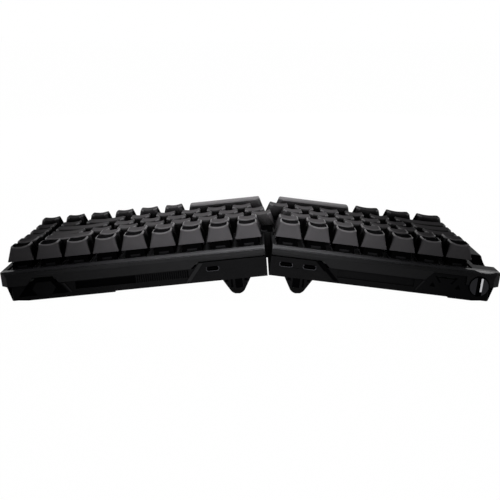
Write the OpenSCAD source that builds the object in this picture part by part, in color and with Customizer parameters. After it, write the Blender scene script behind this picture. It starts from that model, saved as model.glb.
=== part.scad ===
// Ergonomic split keyboard: two tented halves on fold-out legs, each with its own plate,
// board, switches and keys, and a control wheel at the outer back corner of the left half.
// Each half is drawn lying flat in its own frame: x runs outward from the inner end of the
// back row of keys, y = 0 is the back wall, z = 0 the underside. The left half is mirrored.

/* [Key grid] */
// Distance between the centres of two one-unit keys
key_pitch = 19.05; // [18.8:0.05:19.2]
// Gap between neighbouring keycaps
cap_gap = 1.2; // [0.9:0.1:1.8]
// Width of each space bar in key units
space_units = 3.125; // [3:0.125:3.25]

/* [Keycaps] */
// Height of a keycap in the back row
cap_h = 10.1; // [9.6:0.1:11]
// How far each side face leans in
cap_side_inset = 2.7; // [2:0.1:3]
// How far the front face leans in
cap_front_inset = 3.2; // [2:0.1:3.4]
// How far the back face leans in
cap_back_inset = 1.8; // [1:0.1:2.4]
// Depth of the finger dish
dish_depth = 0.9; // [0.6:0.1:1.2]
// Thickness of a keycap wall
cap_wall = 1.4; // [1.1:0.1:1.6]
// Height of a resting keycap skirt above the switch plate
cap_rest_h = 6.2; // [6:0.1:6.6]
// Travel of a key
key_travel = 3.5; // [3:0.1:3.7]

/* [Switches and boards] */
// Side of the square hole in the switch plate
switch_hole = 14; // [13.9:0.05:14.1]
// Side of a switch flange
switch_flange = 15.6; // [15.2:0.1:15.8]
// Height of a switch above the switch plate
switch_top_h = 6.6; // [6.4:0.1:6.8]
// Depth of a switch below the top of the switch plate
switch_depth = 5; // [4.8:0.1:5.2]
// Thickness of the switch plate
plate_t = 1.5; // [1.2:0.1:1.8]
// Thickness of the circuit board
board_t = 1.6; // [1.2:0.1:1.8]

/* [Case] */
// Height of a half at its back wall
case_back_h = 19.5; // [18.5:0.1:21]
// Slope of the key field down towards the user
typing_angle = 2; // [1:0.25:2.5]
// Back wall to the first row of key cells
back_margin = 9.4; // [9:0.1:11]
// Last row of key cells to the front wall
front_margin = 4.5; // [4.2:0.1:6]
// Case wall beyond the key cells at the inner end
inner_margin = 0.6; // [0.5:0.1:1]
// Case beyond the key cells at the outer end of the right half
right_outer_margin = 4.1; // [3.8:0.1:5]
// Case beyond the key cells at the outer end of the left half
left_outer_margin = 18.6; // [18:0.1:20]
// Thickness of the case walls
wall = 2; // [1.6:0.1:2.2]
// Height of the rim above the switch plate
rim_h = 1.2; // [1:0.1:1.4]
// Height of the top case wall below the switch plate
skirt_h = 8.5; // [8.2:0.1:8.8]
// Plan chamfer of the outer corners
corner = 5; // [4:0.1:6]
// Gap between the two halves at their undersides
split_gap = 1; // [0.8:0.1:2]

/* [Tent legs and feet] */
// Reach of a leg below the underside
leg_reach = 15.4; // [13:0.1:16]
// Leg centre from the inner end of the key cells
leg_x = 20.5; // [20.5:0.1:24]
// Radius of the leg tip
leg_tip_r = 5.8; // [5:0.1:6.2]
// Lean of each leg flank
leg_flank = 30; // [28:0.5:33]
// Thickness of a leg
leg_t = 4.4; // [4:0.1:4.6]
// Thickness of the rubber feet
foot_t = 1; // [0.8:0.1:1.4]

/* [Control wheel and sockets] */
// Diameter of the control wheel
wheel_d = 12.4; // [12:0.1:13]
// Depth of the wheel centre below the switch plate
wheel_drop = 8.8; // [8.7:0.1:9.2]
// Width of a socket shell
socket_w = 8.94; // [8.9:0.02:9]
// Height of a socket shell
socket_h = 3.26; // [3.2:0.02:3.3]

/* [Hidden] */
$fn = 48;
RIGHT = 0;
LEFT = 1;

black_case = [0.10, 0.10, 0.11];
black_low = [0.06, 0.06, 0.065];
black_cap = [0.17, 0.17, 0.175];
dark_switch = [0.12, 0.12, 0.13];
steel = [0.55, 0.56, 0.58];
board_green = [0.05, 0.14, 0.10];
rubber = [0.04, 0.04, 0.04];

// Rows from the back to the front: inner offset in units, then widths from the inner end outward
function ones(n) = [for (i = [1:n]) 1];
rows = [
  [
    [0, ones(9)],
    [0, concat(ones(6), [2, 1])],
    [-0.5, concat(ones(7), [1.5, 1])],
    [-0.25, concat(ones(6), [2.25, 1])],
    [0.25, concat(ones(5), [1.75, 1, 1])],
    [3 - space_units, concat([space_units], ones(6))]
  ],
  [
    [0, ones(7)],
    [0, ones(7)],
    [0.5, concat(ones(5), [1.5])],
    [0.25, concat(ones(5), [1.75])],
    [-0.25, concat(ones(5), [2.25])],
    [3.25 - space_units, [space_units, 1.25, 1.25, 1.25]]
  ]
];
// How far the caps of each row, back row first, stay below the caps of the back row
cap_drop = [0, 0.3, 1.4, 1.6, 1.6, -0.5];
row_count = 6;
space_row = 5;
home_row = 3;

function total(v, n) = n == 0 ? 0 : v[n - 1] + total(v, n - 1);
function row_off(h, r) = rows[h][r][0];
function units(h, r, k) = rows[h][r][1][k];
function keys_in(h, r) = len(rows[h][r][1]);
function key_x(h, r, k) =
  key_pitch * (row_off(h, r) + total(rows[h][r][1], k) + units(h, r, k) / 2);
function key_y(r) = -back_margin - key_pitch * (r + 0.5);
function moves(h, r, k) = r == 0 || (r == space_row && k == 0) || (r == home_row && k < 5);
function wide(h, r, k) = units(h, r, k) >= 2;
function wire_span(u) = u > 3 ? key_pitch : 11.9;

// Case outline
field_w = [9 * key_pitch, 7 * key_pitch];
outer_margin = [right_outer_margin, left_outer_margin];
half_w = field_w + outer_margin;
case_d = back_margin + row_count * key_pitch + front_margin;
plate_h = case_back_h - rim_h;
step_inset = 0.4;
thin_wall = 1;
back_rim = back_margin - 1.4;
front_rim = front_margin - 1.3;
outer_rim = outer_margin - [0.4, 0.4];
edge_bevel_run = 3.2;
edge_bevel_h = 3.6;
outer_bevel = 0.5;
side_draft = 1;
function inner_x(h, r, d) = key_pitch * row_off(h, r) - inner_margin + d;
function step_y(h, r, d) =
  -back_margin - key_pitch * (r + 1)
  + (row_off(h, r + 1) < row_off(h, r) ? -1 : 1) * (step_inset + d);
function outline(h, d_in, d_back, d_front, d_out, c) = concat(
  [[inner_x(h, 0, d_in), -d_back]],
  [for (r = [0:row_count - 2]) if (row_off(h, r) != row_off(h, r + 1))
    each [[inner_x(h, r, d_in), step_y(h, r, d_in)],
          [inner_x(h, r + 1, d_in), step_y(h, r, d_in)]]],
  [[inner_x(h, row_count - 1, d_in), -case_d + d_front],
   [half_w[h] - d_out - c, -case_d + d_front], [half_w[h] - d_out, -case_d + d_front + c],
   [half_w[h] - d_out, -d_back - c], [half_w[h] - d_out - c, -d_back]]);

// Lower case
low_inset = 1;
low_step_in = -0.15;
low_wall_in = 1.2;
low_outer_inset = 2.4;
low_corner = corner + 2.5;
low_taper = 22;
part_gap = 0.15;
base_t = 7;
boss_r = 2.5;
plate_boss_r = 2;
boss_join = 9;
screw_r = 1;
screw_head_r = 1.9;
screw_head_h = 1.4;
screw_seat = 2;
function under_z(y) = -(plate_h + y * sin(typing_angle)) / cos(typing_angle);
boss_y = -5.6;
boss_x = [
  [for (f = [0.36, 0.62, 0.92]) f * field_w[RIGHT]],
  [for (f = [0.38, 0.62, 0.86]) f * field_w[LEFT]]
];
plate_screw_at = [for (f = [0.3, 0.6, 0.93], r = [0, 4]) [f, -back_margin - key_pitch * (r + 1)]];

// Tent geometry: the floor runs through the rubber foot and the leg tip
foot_edge = half_w - [17, 17];
foot_from = [75, 33];
foot_to = 11;
foot_w = 8;
foot_front = 3.5;
inner_foot = [6, 30];
inner_foot_back = 4.2;
function tent(h) = atan((leg_reach - foot_t) / (foot_edge[h] - leg_x));
function lift(h) = foot_edge[h] * sin(tent(h)) + foot_t * cos(tent(h));
function outer_reach(h) =
  split_gap / 2 + (half_w[h] + inner_margin) * cos(tent(h)) + plate_h * sin(tent(h));
centre_x = (outer_reach(RIGHT) - outer_reach(LEFT)) / 2;
wheel_proud = 0.6;
centre_y = (wheel_proud - case_d) / 2;

// Legs
pivot_h = leg_t / 2 + 0.2;
pivot_r = 1.5;
pivot_fit = 0.05;
pivot_len = 2.2;
tip_flat = 0.15;
leg_len = leg_reach + pivot_h + tip_flat;
leg_tangent = leg_len - leg_tip_r + leg_tip_r * sin(leg_flank);
leg_half_w = leg_tip_r * cos(leg_flank) + leg_tangent * tan(leg_flank);
leg_pad = 3.4;
leg_slots = [[-7.4, -5.2, 5.4], [-3.6, 1.2, 0.8], [2.9, 4.2, 1.4], [6, 7.8, 5.8]];
leg_slot_d = 1.2;
tip_gap = 0.05;
pocket_clear = 0.5;
pocket_h = leg_t + 0.8;
swing_room = leg_t + 1.6;
rear_leg_y = -20;
front_leg_y = [-78, -95];

// Wheel and sockets
wheel_x = field_w[LEFT] + 4.4;
wheel_r = wheel_d / 2;
wheel_t = 5;
wheel_clear = 0.7;
spindle_r = 2.5;
encoder_w = 10;
encoder_t = 4;
inlay_w = 1.4;
inlay_l = 9.1;
inlay_z = 1.15;
groove_w = 3.8;
groove_t = 1.6;
inlay_x = 1.4;
socket_len = 7.3;
carrier_t = 1.7;
socket_z = -switch_depth - board_t - carrier_t - socket_h / 2;
host_socket_x = 9.6;
left_link_x = 25.2;
right_link_x = 34.8;

// Back wall features
notch_top = -4;
panel_gap = 1.1;
panel_end = [44.1, 33.5];
panel_lean = 1.08;
rib_lean = [0.8, 1.05];
panel_slot = 1.1;
slot_foot = -11.2;
panel_rib = 3.2;
rib_foot = -17;
pocket_in = [140, 107];
pocket_w = [14, 22];
pocket_out = pocket_in + pocket_w;
pocket_in_lean = [0.75, 0.93];
pocket_out_lean = [0.85, 0];
pocket_top = [-3.8, -2.8];
pocket_foot = -16;
pocket_slot = [1.2, 0.25];
pocket_sink = 0.7;
groove_sink = 1.7;
divider_x = [134.3, 102];
divider_w = 1.3;
divider_lean = 0.7;
hatch_in = 108.3;
hatch_w = 14.9;
hatch_out = hatch_in + hatch_w;
hatch_top = -5.2;
hatch_foot = -9.6;
hatch_lean = 0.8;
hatch_slot = 1;
hex_x = 147;
hex_half_w = 8;
hex_half_h = 4.3;
hex_z = -11.7;
band_x = [[51, 126], [44, 95]];
band_top = -9.2;
band_h = 5;
band_sink = 0.8;
rib_pitch = 1.44;
rib_end = 86;
grip_chord = 14;
grip_depth = 0.6;
grip_lean = 25;
grip_r = (grip_chord * grip_chord / 4 + grip_depth * grip_depth) / (2 * grip_depth);
grip_x = 7.5;
scoop_y = -40;
scoop_chord = 37;
scoop_depth = 4.6;
scoop_r = (scoop_chord * scoop_chord / 4 + scoop_depth * scoop_depth) / (2 * scoop_depth);

module tented(h) {
  translate([split_gap / 2 + inner_margin * cos(tent(h)), 0, lift(h)])
    rotate([0, tent(h), 0])
      children();
}

module place(h) {
  translate([-centre_x, -centre_y, 0])
    if (h == LEFT)
      mirror([1, 0, 0]) tented(h) children();
    else
      tented(h) children();
}

module on_plate() {
  translate([0, 0, plate_h])
    rotate([typing_angle, 0, 0])
      children();
}

module at_key(h, r, k) {
  on_plate()
    translate([key_x(h, r, k), key_y(r), 0])
      children();
}

module box(x0, x1, y0, y1, z0, z1) {
  translate([x0, y0, z0])
    cube([x1 - x0, y1 - y0, z1 - z0]);
}

module slab(h, z0, z1, d_in, d_back, d_front, d_out, c) {
  translate([0, 0, z0])
    linear_extrude(z1 - z0)
      polygon(outline(h, d_in, d_back, d_front, d_out, c));
}

// A prism with a wall profile in x and z, running along y
module wall_prism(points, y0, y1) {
  translate([0, y1, 0])
    rotate([90, 0, 0])
      linear_extrude(y1 - y0)
        polygon(points);
}

module floor_cut() {
  difference() {
    children();
    box(-300, 300, -300, 300, -60, 0);
  }
}

// Keys

module taper_block(w, d, height, side, front, back) {
  intersection() {
    rotate([90, 0, 0])
      linear_extrude(d + 2, center = true)
        polygon([[-w / 2, 0], [w / 2, 0], [w / 2 - side, height], [-w / 2 + side, height]]);
    rotate([90, 0, 90])
      linear_extrude(w + 2, center = true)
        polygon([[-d / 2, 0], [d / 2, 0], [d / 2 - back, height], [-d / 2 + front, height]]);
  }
}

slider_w = 7.2;
slider_d = 5.6;
slider_base = 1.2;
slider_top = switch_top_h - 0.1;
cross_l = 4;
cross_w = 1.2;
cross_top = slider_top + 3.7;
post_r = 2.8;
post_low = slider_top + 0.1 - cap_rest_h;
cap_roof = 1.4;
insert_base = 0.5;
wire_r = 0.75;
wire_y = -8.7;
wire_z = 1.2;
wire_rise = asin(key_travel / 2 / -wire_y);
housing_top = slider_top - key_travel - 0.2;
housing_flange = 3.9;

module cross(grow, z0, z1) {
  l = cross_l + grow;
  w = cross_w + grow;
  box(-l / 2, l / 2, -w / 2, w / 2, z0, z1);
  box(-w / 2, w / 2, -l / 2, l / 2, z0, z1);
}

module post(z1) {
  difference() {
    translate([0, 0, post_low])
      cylinder(r = post_r, h = z1 - post_low);
    cross(0.1, post_low - 1, cross_top - cap_rest_h + 0.2);
  }
}

module keycap(u, r) {
  w = u * key_pitch - cap_gap;
  d = key_pitch - cap_gap;
  height = cap_h - cap_drop[r];
  leans = [cap_side_inset, cap_front_inset, cap_back_inset] * height / cap_h;
  room = height - dish_depth - cap_roof;
  share = room / height;
  lip = 0.5;
  half_dish = w / 2 - leans[0] - lip;
  dish_r = (half_dish * half_dish + dish_depth * dish_depth) / (2 * dish_depth);
  difference() {
    taper_block(w, d, height, leans[0], leans[1], leans[2]);
    if (u < 3)
      translate([0, 0, height - dish_depth + dish_r])
        rotate([90, 0, 0])
          cylinder(r = dish_r, h = d + 4, center = true, $fn = 96);
    translate([0, 0, -0.01])
      taper_block(w - 2 * cap_wall, d - 2 * cap_wall, room,
        leans[0] * share, leans[1] * share, leans[2] * share);
  }
  post(room + 0.3);
  if (u >= 2)
    for (s = [-1, 1])
      translate([s * wire_span(u), 0, 0])
        post(room + 0.3);
}

module slider() {
  difference() {
    box(-slider_w / 2, slider_w / 2, -slider_d / 2, slider_d / 2, slider_base, slider_top);
    translate([0, 0, slider_base - 1])
      cylinder(r = 2.2, h = 5 - slider_base + 1);
  }
  cross(0, slider_top - 0.2, cross_top);
}

module wire_insert() {
  difference() {
    box(-2.4, 2.4, -2.6, 2.6, insert_base, slider_top);
    box(-1.1, 1.1, -3, 0.9, insert_base + 0.9, insert_base + 4);
  }
  cross(0, slider_top - 0.2, cross_top);
}

module key(u, r) {
  color(black_cap)
    translate([0, 0, cap_rest_h])
      keycap(u, r);
  color(dark_switch)
    slider();
  if (u >= 2)
    color(dark_switch)
      for (s = [-1, 1])
        translate([s * wire_span(u), 0, 0])
          wire_insert();
}

module one_key(h, r, k) {
  place(h)
    at_key(h, r, k)
      key(units(h, r, k), r);
}

module fixed_keys(h) {
  place(h)
    for (r = [0:row_count - 1], k = [0:keys_in(h, r) - 1])
      if (!moves(h, r, k))
        at_key(h, r, k)
          key(units(h, r, k), r);
}

// Switches, springs and stabilisers

module switch_housing() {
  body = switch_hole - 0.1;
  side = 1.8;
  difference() {
    union() {
      box(-body / 2, body / 2, -body / 2, body / 2, -switch_depth, 0.2);
      box(-switch_flange / 2, switch_flange / 2, -switch_flange / 2, switch_flange / 2, 0, 1);
      translate([0, 0, 0.9])
        taper_block(body + 0.3, body + 0.3, switch_top_h - 0.9, side, side, side);
    }
    box(-slider_w / 2 - 0.15, slider_w / 2 + 0.15, -slider_d / 2 - 0.15, slider_d / 2 + 0.15,
      -switch_depth + 2, switch_top_h + 1);
  }
}

module switch_housings(h) {
  color(dark_switch)
    place(h)
      for (r = [0:row_count - 1], k = [0:keys_in(h, r) - 1])
        at_key(h, r, k)
          switch_housing();
}

module switch_springs(h) {
  color(steel)
    place(h)
      for (r = [0:row_count - 1], k = [0:keys_in(h, r) - 1])
        at_key(h, r, k)
          translate([0, 0, -switch_depth + 2])
            difference() {
              cylinder(r = 2.05, h = switch_depth - 2 + 5);
              translate([0, 0, -1])
                cylinder(r = 1.6, h = switch_depth + 6);
            }
}

module wire_housing(inboard) {
  difference() {
    union() {
      box(-3.5, 3.5, -6.2, 6.2, -4.2, housing_top);
      box(-housing_flange, housing_flange, -7, 7, 0, 0.8);
      translate([inboard * 2.4, 0, 0])
        box(-1, 1, wire_y - 1.7, -6.8, 0, 2.3);
    }
    box(-2.6, 2.6, -2.8, 2.8, -3.4, 6);
    box(-1.1, 1.1, -8, -2.6, -2.6, 6);
    translate([0, wire_y, wire_z])
      rotate([0, 90, 0])
        cylinder(r = wire_r + pivot_fit, h = 20, center = true);
  }
}

module wire(span) {
  translate([-span, wire_y, wire_z])
    rotate([0, 90, 0])
      cylinder(r = wire_r, h = 2 * span);
  for (s = [-1, 1])
    translate([s * span, wire_y, wire_z]) {
      sphere(r = wire_r);
      rotate([wire_rise - 90, 0, 0])
        cylinder(r = wire_r, h = 0.4 - wire_y);
    }
}

module stabilisers(h) {
  place(h)
    for (r = [0:row_count - 1], k = [0:keys_in(h, r) - 1])
      if (wide(h, r, k))
        at_key(h, r, k) {
          color(dark_switch)
            for (s = [-1, 1])
              translate([s * wire_span(units(h, r, k)), 0, 0])
                wire_housing(-s);
          if (!moves(h, r, k))
            color(steel)
              wire(wire_span(units(h, r, k)));
        }
}

module space_wire(h) {
  color(steel)
    place(h)
      at_key(h, space_row, 0)
        wire(wire_span(space_units));
}

// Plates and boards

function inside_out(h) = h == LEFT ? outer_margin[h] - 2.7 : wall;

module boss_holes(h, r, z0, z1) {
  for (x = boss_x[h])
    translate([x, boss_y, z0])
      cylinder(r = r, h = z1 - z0);
}

module screw_holes(h, r, z0, z1) {
  for (p = plate_screw_at)
    translate([p[0] * field_w[h], p[1], z0])
      cylinder(r = r, h = z1 - z0);
}

module switch_plate(h) {
  color(steel)
    place(h)
      on_plate()
        difference() {
          slab(h, -plate_t, 0, thin_wall + 0.2, wall + 0.3, wall + 0.3, inside_out(h) + 0.3,
            corner - 1);
          for (r = [0:row_count - 1], k = [0:keys_in(h, r) - 1])
            translate([key_x(h, r, k), key_y(r), 0]) {
              box(-switch_hole / 2, switch_hole / 2, -switch_hole / 2, switch_hole / 2, -5, 5);
              if (wide(h, r, k))
                for (s = [-1, 1])
                  translate([s * wire_span(units(h, r, k)), 0, 0]) {
                    box(-3.6, 3.6, -6.3, 6.3, -5, 5);
                    box(-1.2, 1.2, -7.6, 0, -5, 5);
                  }
            }
          boss_holes(h, boss_r + 0.3, -5, 5);
          screw_holes(h, screw_r + 0.05, -5, 5);
        }
}

module circuit_board(h) {
  top = -switch_depth;
  color(board_green)
    place(h)
      on_plate()
        difference() {
          slab(h, top - board_t, top, thin_wall + 0.7, low_inset + wall + 0.4, low_inset + wall + 0.4,
            inside_out(h) + 1.6 + (h == RIGHT ? low_outer_inset : 0), corner - 2);
          boss_holes(h, boss_r + 0.3, -20, 5);
          screw_holes(h, plate_boss_r + 0.2, -20, 5);
          if (h == LEFT)
            box(wheel_x - wheel_r - 1, half_w[h], -10.4, 5, -20, 5);
        }
}

// Case

module notch(h, gap) {
  z0 = -skirt_h - 1;
  top = notch_top - gap;
  end = panel_end[h] - gap / 2;
  wall_prism([[-inner_margin - 3, z0], [end + (top - z0) * panel_lean, z0], [end, top],
    [-inner_margin - 3, top]], -low_inset - wall, 2);
}

// A slanted bar on the back wall, from its upper outer corner down to z0
module slant_bar(x, top, z0, w, lean, y0, y1) {
  run = (top - z0) * lean;
  wall_prism([[x + run - w, z0], [x + run, z0], [x, top], [x - w, top]], y0, y1);
}

module window(h, z0, grow, y0, y1) {
  top = pocket_top[h] - grow;
  drop = top - z0;
  wall_prism([[pocket_in[h] + grow - pocket_in_lean[h] * drop, z0],
    [pocket_out[h] - grow + pocket_out_lean[h] * drop, z0],
    [pocket_out[h] - grow, top], [pocket_in[h] + grow, top]], y0, y1);
}

module hex_pad(y0, y1) {
  wall_prism([for (p = [[-1, 0], [-0.6, -1], [0.6, -1], [1, 0], [0.6, 1], [-0.6, 1]])
    [hex_x + p[0] * hex_half_w, hex_z + p[1] * hex_half_h]], y0, y1);
}

module hatch(grow, z0, y0, y1) {
  top = hatch_top - grow;
  run = (top - z0) * hatch_lean;
  wall_prism([[hatch_in + grow + run, z0], [hatch_out - grow - run, z0],
    [hatch_out - grow, top], [hatch_in + grow, top]], y0, y1);
}

// The open slot round three sides of the left hatch, with the two small notches beside it
module hatch_slots() {
  y0 = -low_inset - wall - 1;
  difference() {
    hatch(0, hatch_foot, y0, 5);
    hatch(hatch_slot, hatch_foot - 1, y0 - 1, 6);
  }
  for (x = [hatch_in - 1.1, hatch_out + 1])
    wall_prism([[x - 1.8, -12.4], [x + 1.8, -12.4], [x, -10.4]], y0, 5);
}

module wheel_bore(r, y0, y1) {
  translate([wheel_x, y1, -wheel_drop])
    rotate([90, 0, 0])
      cylinder(r = r, h = y1 - y0, $fn = 72);
}

module encoder_space(grow) {
  box(wheel_x - encoder_w / 2 - grow, wheel_x + encoder_w / 2 + grow,
    -wheel_t - encoder_t - grow, -wheel_t + grow,
    -wheel_drop - encoder_w / 2, -wheel_drop + encoder_w / 2 + grow);
}

module edge_cuts(h) {
  lean = atan(edge_bevel_run / edge_bevel_h);
  translate([0, 0, rim_h - edge_bevel_h])
    rotate([lean, 0, 0])
      box(-60, 260, 0, 60, -60, 60);
  translate([0, -case_d, rim_h - edge_bevel_h])
    rotate([-lean, 0, 0])
      box(-60, 260, -60, 0, -60, 60);
  translate([half_w[h], 0, rim_h - outer_bevel])
    rotate([0, -45, 0])
      box(0, 60, -260, 60, -60, 60);
  translate([half_w[h], 0, rim_h - outer_bevel])
    rotate([0, side_draft, 0])
      box(0, 60, -260, 60, -60, 60);
}

module top_case(h) {
  color(black_case)
    place(h)
      on_plate() {
        difference() {
          slab(h, -skirt_h, rim_h, 0, 0, 0, 0, corner);
          slab(h, -skirt_h - 1, 0, thin_wall, wall, wall, inside_out(h), corner - 0.6 * wall);
          slab(h, -1, rim_h + 1, thin_wall, back_rim, front_rim, outer_rim[h], 0.5);
          edge_cuts(h);
          notch(h, 0);
          window(h, -skirt_h - 1, 0, -wall - 0.5, 2);
          if (h == LEFT) {
            translate([field_w[h] + grip_x, -edge_bevel_run, rim_h])
              rotate([-grip_lean, 0, 0])
                translate([0, 0, grip_r - grip_depth])
                  rotate([90, 0, 0])
                    cylinder(r = grip_r, h = 30, center = true, $fn = 96);
            wheel_bore(wheel_r + wheel_clear, -wheel_t, 5);
            encoder_space(0.2);
            translate([half_w[h], scoop_y, rim_h - scoop_depth + scoop_r])
              rotate([0, 90, 0])
                cylinder(r = scoop_r, h = 2 * (outer_margin[h] - 4), center = true, $fn = 96);
          }
        }
        difference() {
          boss_holes(h, boss_r, -boss_join, 0.3);
          boss_holes(h, screw_r + 0.05, -boss_join - 1, -2.5);
        }
      }
}

module leg_shape(grow) {
  half = leg_half_w + 1.2 * grow;
  r = leg_tip_r + grow;
  tip_x = r * cos(leg_flank);
  tip_y = leg_len - leg_tip_r + r * sin(leg_flank);
  polygon([[-half, 0], [half, 0], [tip_x, tip_y], [-tip_x, tip_y]]);
  translate([0, leg_len - leg_tip_r])
    circle(r = r);
}

module leg_pocket(dir) {
  translate([leg_x, 0, -1]) {
    mirror([0, dir < 0 ? 1 : 0, 0]) {
      linear_extrude(pocket_h + 1)
        leg_shape(pocket_clear);
      box(-leg_half_w - pocket_clear, leg_half_w + pocket_clear, -leg_t / 2 - 0.2, swing_room,
        0, pocket_h + 1);
    }
  }
  translate([leg_x, 0, pivot_h])
    rotate([0, 90, 0])
      cylinder(r = pivot_r + pivot_fit, h = 2 * (leg_half_w + pivot_len + 0.2), center = true);
}

module socket_block(x, grow, y0, y1) {
  w = socket_w + 2 * grow;
  r = socket_h / 2 + grow;
  translate([x, 0, socket_z]) {
    box(-w / 2 + r, w / 2 - r, y0, y1, -r, r);
    for (s = [-1, 1])
      translate([s * (w / 2 - r), y1, 0])
        rotate([90, 0, 0])
          cylinder(r = r, h = y1 - y0);
  }
}

module bottom_shell(h) {
  intersection() {
    on_plate()
      difference() {
        slab(h, -60, -skirt_h - part_gap, low_step_in, low_inset, low_inset, 0, low_corner);
        translate([half_w[h] - low_outer_inset, 0, -skirt_h])
          rotate([0, low_taper, 0])
            box(0, 60, -260, 60, -60, 60);
      }
    box(-60, 260, -260, 60, 0, 60);
  }
}

module bottom_inside(h) {
  intersection() {
    on_plate()
      slab(h, -60, 1, low_step_in + low_wall_in, low_inset + wall, low_inset + wall,
        inside_out(h) + low_outer_inset, corner - 0.6 * wall);
    box(-60, 260, -260, 60, base_t, 60);
  }
}

module bottom_case(h) {
  color(black_low)
    place(h)
      difference() {
        union() {
          difference() {
            bottom_shell(h);
            bottom_inside(h);
          }
          on_plate() {
            intersection() {
              notch(h, panel_gap);
              box(low_step_in - inner_margin, half_w[h], -low_inset - wall, -low_inset, -skirt_h - 1, 0);
            }
            slant_bar(panel_end[h] - panel_gap / 2, notch_top - panel_gap, rib_foot, panel_rib,
              rib_lean[h], -low_inset - 1, -0.4);
            slant_bar(divider_x[h], band_top, pocket_foot, divider_w, -divider_lean,
              -low_inset - 1, -0.5);
            window(h, -skirt_h - 1, pocket_slot[h], -low_inset - wall, -low_inset);
            if (h == RIGHT)
              hex_pad(-low_inset - wall, -low_inset - pocket_sink / 7);
            boss_holes(h, boss_r, -12.5, -boss_join);
            screw_holes(h, plate_boss_r, -12.5, -plate_t);
          }
        }
        translate([0, rear_leg_y, 0])
          leg_pocket(-1);
        translate([0, front_leg_y[h], 0])
          leg_pocket(1);
        on_plate() {
          screw_holes(h, screw_r + 0.1, -40, 5);
          boss_holes(h, screw_r + 0.1, -40, 5);
          for (p = plate_screw_at)
            translate([p[0] * field_w[h], p[1], under_z(p[1]) + screw_seat - 20])
              cylinder(r = screw_head_r + 0.2, h = 20);
          boss_seats = under_z(boss_y) + screw_seat;
          boss_holes(h, screw_head_r + 0.2, boss_seats - 20, boss_seats);
          difference() {
            box(band_x[h][0], band_x[h][1], -low_inset - band_sink, 5, band_top - band_h, band_top);
            if (h == RIGHT)
              for (x = [band_x[h][0] + 1 : rib_pitch : rib_end])
                box(x, x + rib_pitch / 2, -low_inset - band_sink, -low_inset, -30, 0);
          }
          if (h == RIGHT) {
            difference() {
              window(h, pocket_foot, 0, -low_inset - pocket_sink, 5);
              hex_pad(-low_inset - wall, -low_inset - pocket_sink / 7);
            }
            difference() {
              window(h, pocket_foot, 0, -low_inset - groove_sink, 5);
              window(h, pocket_foot - 1, pocket_slot[h], -low_inset - wall, 6);
              box(0, hex_x, -10, 10, -30, 0);
            }
            socket_block(right_link_x, 0.1, -20, 5);
          } else {
            hatch_slots();
            slant_bar(panel_end[h] - panel_gap / 2 - panel_rib, notch_top - panel_gap, slot_foot, panel_slot,
              rib_lean[h], -low_inset - band_sink, 5);
            socket_block(host_socket_x, 0.1, -20, 5);
            socket_block(left_link_x, 0.1, -20, 5);
            wheel_bore(wheel_r + wheel_clear, -wheel_t - 0.1, 5);
            encoder_space(0);
            box(wheel_x - encoder_w / 2, wheel_x + encoder_w / 2, -wheel_t - encoder_t, -wheel_t,
              -wheel_drop, 0);
          }
        }
      }
}

module case_screws(h) {
  color(steel)
    place(h)
      on_plate() {
        for (p = plate_screw_at)
          translate([p[0] * field_w[h], p[1], under_z(p[1]) + screw_seat])
            screw(-0.2 - under_z(p[1]) - screw_seat);
        for (x = boss_x[h])
          translate([x, boss_y, under_z(boss_y) + screw_seat])
            screw(-3 - under_z(boss_y) - screw_seat);
      }
}

module screw(len) {
  translate([0, 0, -screw_head_h])
    difference() {
      cylinder(r = screw_head_r, h = screw_head_h);
      translate([0, 0, -1])
        cylinder(r = 1.1, h = 1.7, $fn = 6);
    }
  translate([0, 0, -0.2])
    cylinder(r = screw_r, h = len + 0.2);
}

// Feet and legs

module rubber_feet(h) {
  color(rubber)
    floor_cut()
      place(h)
        for (y = [-low_inset - 0.2 - foot_w, -case_d + foot_front]) {
          in_y = y > -case_d / 2 ? y - inner_foot_back : y;
          box(half_w[h] - foot_from[h], half_w[h] - foot_to, y, y + foot_w, -foot_t, 0);
          box(inner_foot[0], inner_foot[1], in_y, in_y + foot_w, -foot_t, 0);
        }
}

module leg_body() {
  difference() {
    union() {
      rotate([-90, 0, 0])
        linear_extrude(leg_t, center = true)
          leg_shape(0);
      rotate([0, 90, 0])
        cylinder(r = leg_t / 2, h = 2 * leg_half_w, center = true);
      rotate([0, 90, 0])
        cylinder(r = pivot_r, h = 2 * (leg_half_w + pivot_len), center = true);
    }
    for (p = leg_slots)
      box(p[0], p[1], leg_t / 2 - leg_slot_d, leg_t / 2 + 1, -leg_len + leg_pad + p[2], -leg_t / 2 - 1.2);
  }
}

module leg(h, y) {
  color(black_low)
    place(h)
      translate([leg_x, y, pivot_h])
        difference() {
          leg_body();
          box(-40, 40, -20, 20, -60, -leg_len + leg_pad + tip_gap);
        }
  color(rubber)
    floor_cut()
      place(h)
        translate([leg_x, y, pivot_h])
          intersection() {
            leg_body();
            box(-40, 40, -20, 20, -60, -leg_len + leg_pad);
          }
}

// Sockets and wheel

module socket(h, x) {
  front = -low_inset - 0.3;
  color(steel)
    place(h)
      on_plate()
        difference() {
          union() {
            socket_block(x, 0, front - socket_len, front);
            box(x - 5.4, x + 5.4, front - socket_len, -low_inset - wall - 0.4,
              socket_z + socket_h / 2 - 0.4, -switch_depth - board_t);
          }
          difference() {
            socket_block(x, -0.33, front - 6.2, 1);
            box(x - 3.35, x + 3.35, front - 6.2, front - 0.8, socket_z - 0.35, socket_z + 0.35);
          }
        }
}

module control_wheel() {
  color(steel)
    place(LEFT)
      on_plate()
        difference() {
          union() {
            wheel_bore(wheel_r, wheel_proud - wheel_t, wheel_proud);
            wheel_bore(spindle_r, -wheel_t - encoder_t + 0.6, 0);
          }
          box(wheel_x + inlay_x + inlay_w / 2 - groove_w, wheel_x + inlay_x + inlay_w / 2,
            wheel_proud - groove_t, 5, -wheel_drop - 10, -wheel_drop + 10);
        }
}

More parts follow.
